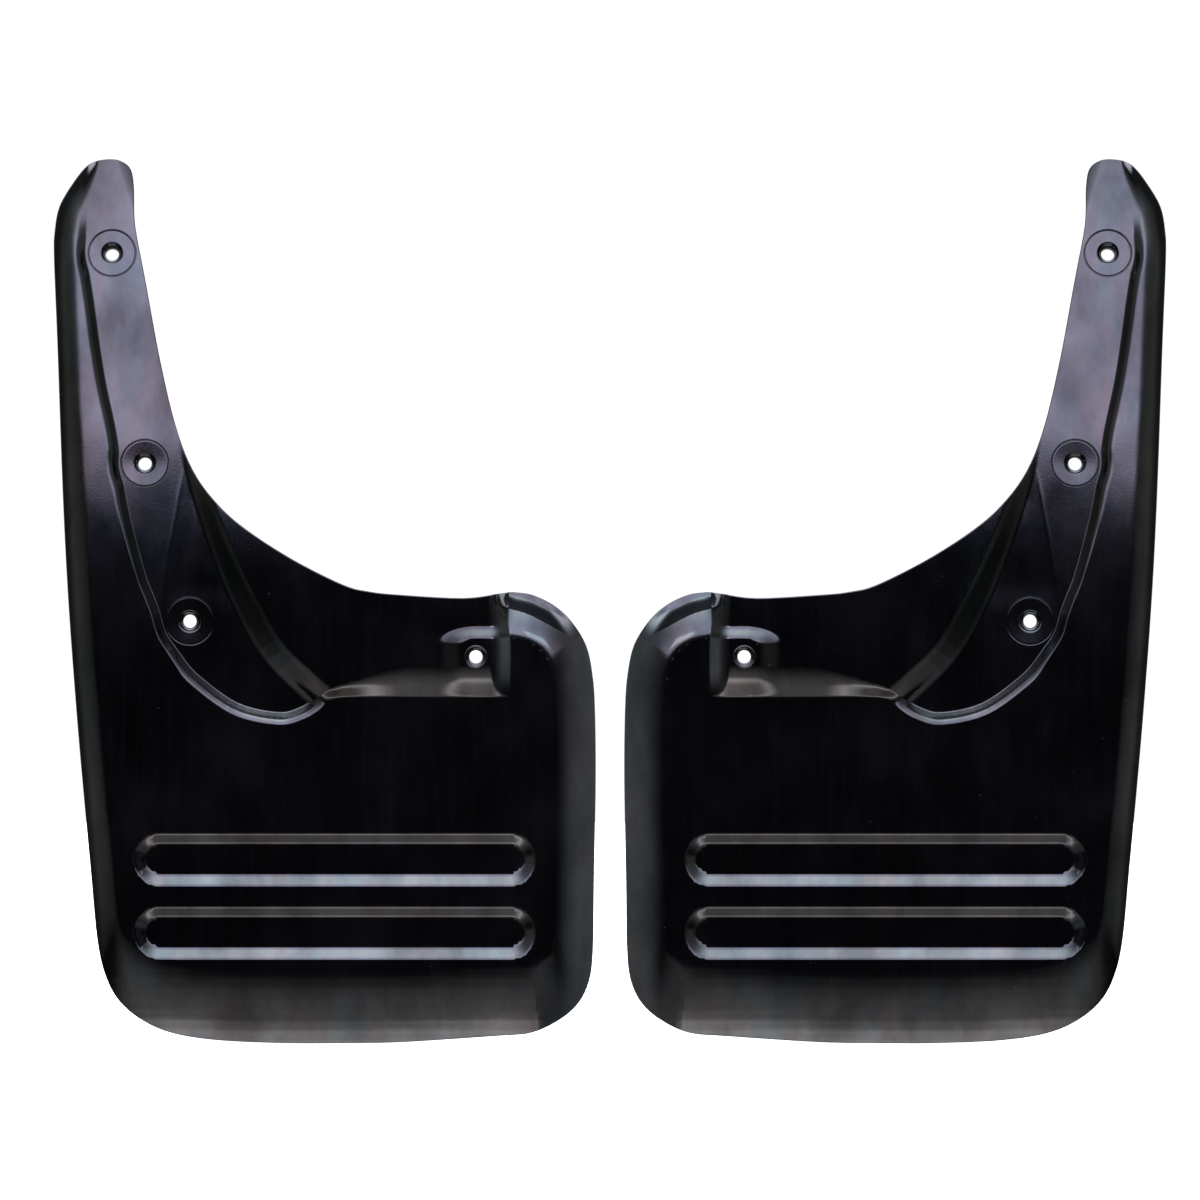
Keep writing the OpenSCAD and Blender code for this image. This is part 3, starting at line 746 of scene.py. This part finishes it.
verts, polys, normals = build_flap()
for side, tag in ((-1, "left"), (1, "right")):
    skin = make_skin(f"{tag}_flap_skin", verts, polys, normals, side, mat_flap)
    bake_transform(skin)
    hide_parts(f"{tag}_mounting_section", f"{tag}_lower_panel")
    for kind in SEATS:
        seat = make_seat(f"{tag}_seat_{kind}_turned", kind, side, mat_seat)
        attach(seat, "vehicle_side")
        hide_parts(f"{tag}_seat_{kind}")


# ---------------------------------------------------------------- floor, light, camera
def glowing(name, color, strength):
    """A matt material that also gives off light."""
    m = bpy.data.materials.new(name)
    m.use_nodes = True
    b = m.node_tree.nodes["Principled BSDF"]
    b.inputs["Base Color"].default_value = (*color, 1)
    b.inputs["Roughness"].default_value = 0.9
    b.inputs["Emission Color"].default_value = (*color, 1)
    b.inputs["Emission Strength"].default_value = strength
    return m


bpy.ops.mesh.primitive_plane_add(size=12, location=(0, 0, -0.0005))
floor = bpy.context.object
floor.name = "floor"
floor.data.materials.append(glowing("floor_white", (0.92, 0.92, 0.92), 0.8))
floor.visible_glossy = False
floor.visible_diffuse = False


def reflector(name, location, turn, size, mat):
    """A plane that only shows in the flaps' reflections."""
    bpy.ops.mesh.primitive_plane_add(size=1, location=location, rotation=turn)
    ob = bpy.context.object
    ob.name = name
    ob.scale = (*size, 1)
    ob.data.materials.append(mat)
    ob.visible_camera = False
    ob.visible_diffuse = False
    ob.visible_shadow = False


# grey card between the flaps, which only their inboard rolls can see
card_mat = bpy.data.materials.new("card_grey")
card_mat.use_nodes = True
card_mat.node_tree.nodes["Principled BSDF"].inputs["Base Color"].default_value = (0, 0, 0, 1)
card_nt = card_mat.node_tree
card_at = card_nt.nodes.new("ShaderNodeSeparateXYZ")
card_nt.links.new(card_nt.nodes.new("ShaderNodeTexCoord").outputs["Object"], card_at.inputs[0])
card_fade = card_nt.nodes.new("ShaderNodeValToRGB")
card_range = card_nt.nodes.new("ShaderNodeMapRange")
card_range.inputs["From Min"].default_value = -0.5
card_range.inputs["From Max"].default_value = 0.5
card_nt.links.new(card_at.outputs["Y"], card_range.inputs["Value"])
card_nt.links.new(card_range.outputs[0], card_fade.inputs[0])
card_els = card_fade.color_ramp.elements
while len(card_els) < 5:
    card_els.new(0.5)
for el, (at, level) in zip(card_els, ((0.0, 0.0), (0.52, 0.02), (0.72, 0.15), (0.785, 0.42), (0.84, 1.0))):
    el.position = at
    el.color = (level, level, level, 1)
# its lowest part is as light as the floor's glow behind it
card_low = card_nt.nodes.new("ShaderNodeMapRange")
for name, value in (("From Min", 0.17), ("From Max", 0.3), ("To Max", 0.5)):
    card_low.inputs[name].default_value = value
card_nt.links.new(card_at.outputs["X"], card_low.inputs["Value"])
card_level = card_nt.nodes.new("ShaderNodeMath")
card_level.operation = "MAXIMUM"
card_nt.links.new(card_fade.outputs[0], card_level.inputs[0])
card_nt.links.new(card_low.outputs[0], card_level.inputs[1])
card_nt.nodes["Principled BSDF"].inputs["Emission Color"].default_value = (0.77, 0.84, 0.86, 1)
card_nt.links.new(card_level.outputs[0], card_nt.nodes["Principled BSDF"].inputs["Emission Strength"])
reflector("card", (0, -0.2, 0.07), (0, math.radians(90), 0), (0.34, 0.52), card_mat)

# small bright lamp that both inboard shoulders mirror as a streak
reflector("lamp", (0, -0.18, 0.287), (math.radians(90), 0, 0), (0.06, 0.034),
          glowing("lamp_white", (0.8, 0.92, 1.0), 11.0))

world = bpy.data.worlds.new("studio")
bpy.context.scene.world = world
world.use_nodes = True
wt = world.node_tree
wt.nodes.clear()
coord = wt.nodes.new("ShaderNodeTexCoord")
sep = wt.nodes.new("ShaderNodeSeparateXYZ")
wt.links.new(coord.outputs["Generated"], sep.inputs[0])


def ramp_node(fac, stops, lo=-1.0):
    """A colour ramp from lo to 1."""
    mr = wt.nodes.new("ShaderNodeMapRange")
    mr.inputs["From Min"].default_value = lo
    wt.links.new(fac, mr.inputs["Value"])
    cr = wt.nodes.new("ShaderNodeValToRGB")
    els = cr.color_ramp.elements
    while len(els) < len(stops):
        els.new(0.5)
    for el, (at, c) in zip(els, stops):
        el.position = (at - lo) / (1 - lo)
        el.color = (*c, 1)
    wt.links.new(mr.outputs[0], cr.inputs[0])
    return cr.outputs[0]


def grey_ramp(fac, stops, lo=-1.0):
    """A ramp of plain levels from lo to 1."""
    return ramp_node(fac, [(at, (level, level, level)) for at, level in stops], lo)


def blend_node(kind, a, b):
    n = wt.nodes.new("ShaderNodeMix")
    n.data_type = "RGBA"
    n.blend_type = kind
    n.clamp_result = False
    n.inputs["Factor"].default_value = 1
    wt.links.new(a, n.inputs["A"])
    wt.links.new(b, n.inputs["B"])
    return n.outputs["Result"]


def multiply(a, b):
    return blend_node("MULTIPLY", a, b)


def add(a, b):
    return blend_node("ADD", a, b)


SKY = [  # elevation in degrees, radiance
    (-90, (1.00, 0.93, 0.88)), (-70, (1.10, 1.02, 0.97)), (-56, (5.6, 5.35, 5.2)), (-46, (1.2, 1.17, 1.15)),
    (-32, (0.8, 0.8, 0.79)), (-18, (0.28, 0.28, 0.28)), (-8, (0.05, 0.05, 0.06)), (-3, (0.02, 0.02, 0.026)),
    (3, (0.02, 0.022, 0.03)), (5.5, (0.06, 0.07, 0.1)), (8.3, (0.2, 0.22, 0.34)), (11.5, (5.2, 4.8, 6.2)),
    (17, (5.2, 4.9, 6.3)), (24, (5.4, 5.3, 6.9)), (40, (5.0, 5.3, 6.4)), (65, (7.0, 7.8, 8.6)),
    (90, (8.0, 8.7, 9.2))]
SKY_UNIT = 10.0  # the ramps hold radiance over this, because a ramp's colours stop at 1
side, depth, up = sep.outputs["X"], sep.outputs["Y"], sep.outputs["Z"]
absx = wt.nodes.new("ShaderNodeMath")
absx.operation = "ABSOLUTE"
wt.links.new(side, absx.inputs[0])
side = absx.outputs[0]
vertical = ramp_node(up, [(math.sin(math.radians(e)), tuple(v / SKY_UNIT for v in c)) for e, c in SKY])
facing = ramp_node(depth, [
    (-1.0, (1, 1, 1)), (-0.12, (1, 1, 1)), (0.1, (0.2, 0.2, 0.21)), (0.25, (0.04, 0.04, 0.045)),
    (0.5, (0.025, 0.025, 0.03)), (1.0, (0.02, 0.02, 0.025))])
# the sky fades towards both sides, and below the horizon its light reaches further round
sides_high = grey_ramp(side, [(0.0, 1), (0.2, 0.9), (0.35, 0.7), (0.5, 0.45), (0.6, 0.27), (0.7, 0.14),
                              (0.85, 0.05), (1.0, 0.01)], 0.0)
sides_low = grey_ramp(side, [(0.0, 1), (0.5, 0.85), (0.7, 0.5), (0.85, 0.15), (1.0, 0.04)], 0.0)
high = grey_ramp(up, [(-1.0, 0), (-0.25, 0), (-0.05, 1), (1.0, 1)])
low = grey_ramp(up, [(-1.0, 1), (-0.25, 1), (-0.05, 0), (1.0, 0)])
sides = add(multiply(sides_high, high), multiply(sides_low, low))
# faint fill from both sides
side_fill = ramp_node(side, [
    (0.0, (0, 0, 0)), (0.25, (0, 0, 0)), (0.6, (0.02, 0.022, 0.02)), (1.0, (0.04, 0.043, 0.038))], 0.0)
fill_facing = grey_ramp(depth, [(-1.0, 1), (0.15, 1), (0.33, 0.25), (1.0, 0.1)])
fill_level = grey_ramp(up, [(-1.0, 0.1), (-0.5, 0.05), (-0.28, 0.08), (-0.1, 1), (1.0, 1)])
side_fill = multiply(multiply(side_fill, fill_facing), fill_level)
# soft light behind, which only the backs of the flaps mirror
behind = grey_ramp(depth, [(-1.0, 0), (0.62, 0), (0.72, 1), (1.0, 1)])
behind_level = ramp_node(up, [
    (-1.0, (0.02, 0.02, 0.02)), (-0.5, (0.04, 0.04, 0.04)), (-0.1, (0.07, 0.07, 0.075)),
    (0.3, (0.16, 0.16, 0.18)), (1.0, (0.3, 0.3, 0.32))])
env = add(add(multiply(multiply(vertical, facing), sides), side_fill), multiply(behind, behind_level))
bg_env = wt.nodes.new("ShaderNodeBackground")
bg_env.inputs["Strength"].default_value = SKY_UNIT
wt.links.new(env, bg_env.inputs["Color"])
bg_cam = wt.nodes.new("ShaderNodeBackground")
bg_cam.inputs["Color"].default_value = (1, 1, 1, 1)
bg_cam.inputs["Strength"].default_value = 1.05
path = wt.nodes.new("ShaderNodeLightPath")
pick = wt.nodes.new("ShaderNodeMixShader")
wt.links.new(path.outputs["Is Camera Ray"], pick.inputs["Fac"])
wt.links.new(bg_env.outputs[0], pick.inputs[1])
wt.links.new(bg_cam.outputs[0], pick.inputs[2])
out = wt.nodes.new("ShaderNodeOutputWorld")
wt.links.new(pick.outputs[0], out.inputs["Surface"])

bpy.context.scene.view_settings.view_transform = "Standard"
bpy.context.scene.view_settings.look = "None"

# a far camera, because the photo shows almost no perspective
DIST = 6.0
FRAME_W, FRAME_AT = 0.6772, 0.018  # the photo's width in metres, measured this far behind the panel
SENSOR = 36
cam_data = bpy.data.cameras.new("camera")
cam_data.sensor_width = SENSOR
cam_data.lens = SENSOR / (FRAME_W / (DIST + FRAME_AT))
cam = bpy.data.objects.new("camera", cam_data)
cam.location = (-0.00564, MID_Y * MM - DIST, 0.2499)
cam.rotation_euler = (math.radians(90), 0, 0)
cam_data.clip_start = 0.05
cam_data.clip_end = 60
bpy.context.scene.collection.objects.link(cam)
bpy.context.scene.camera = cam
